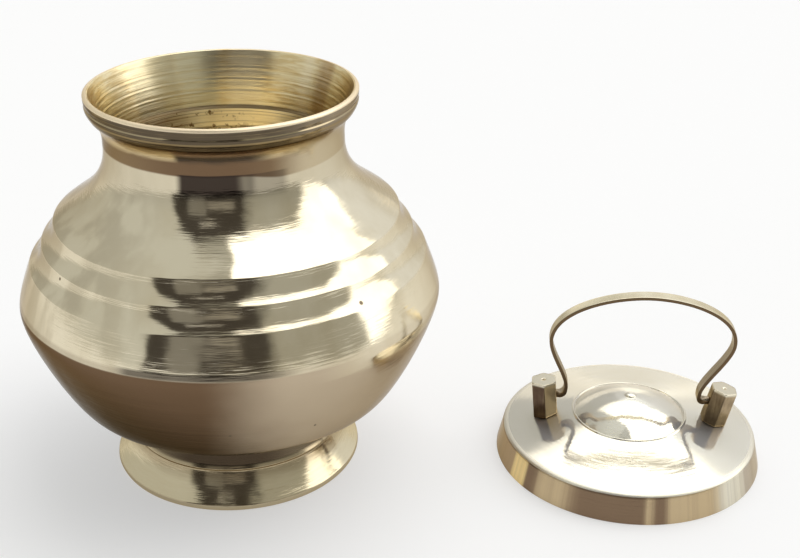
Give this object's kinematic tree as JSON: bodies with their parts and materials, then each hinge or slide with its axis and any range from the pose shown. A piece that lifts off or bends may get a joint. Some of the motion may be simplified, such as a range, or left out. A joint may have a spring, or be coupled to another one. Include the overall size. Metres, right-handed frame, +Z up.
{
  "type": "holy water pot",
  "caption": "Turned brass water pot with a flared foot, stepped shoulder and beaded rim, and a separate conical lid with a folding strip bail.",
  "frame": {"origin": "on the table, at the centre of the footprint of the pot and the lid beside it", "axes": "+X from the pot to the lid, +Y to the back, +Z up"},
  "size_m": [0.2756, 0.1518, 0.1441],
  "materials": {
    "pot_brass": "mirror polished over fine turning lines",
    "foot_brass": "mirror polished over fine turning lines",
    "lid_brass": "mirror polished top, brushed skirt",
    "post_brass": "drawn hexagonal bar, satin",
    "bail_brass": "satin strip",
    "screw_brass": "turned, satin"
  },
  "bodies": {
    "pot": {"pot_body": "pot_brass", "foot_ring": "foot_brass"},
    "lid": {"lid_cap": "lid_brass", "post_left": "post_brass", "post_right": "post_brass", "post_screw_left": "screw_brass", "post_screw_right": "screw_brass"},
    "bail": {"bail_handle": "bail_brass"}
  },
  "joints": [
    {"name": "lid_lift", "type": "slide", "parent": "pot", "child": "lid", "axis": [0, 0, 1], "range_m": [0, 0.16]},
    {"name": "bail_hinge", "type": "hinge", "parent": "lid", "child": "bail", "pos_m": [0.08773, -0.0029, 0.02306], "axis": [0.9966, -0.0819, 0], "range_deg": [-98, 98]}
  ]
}
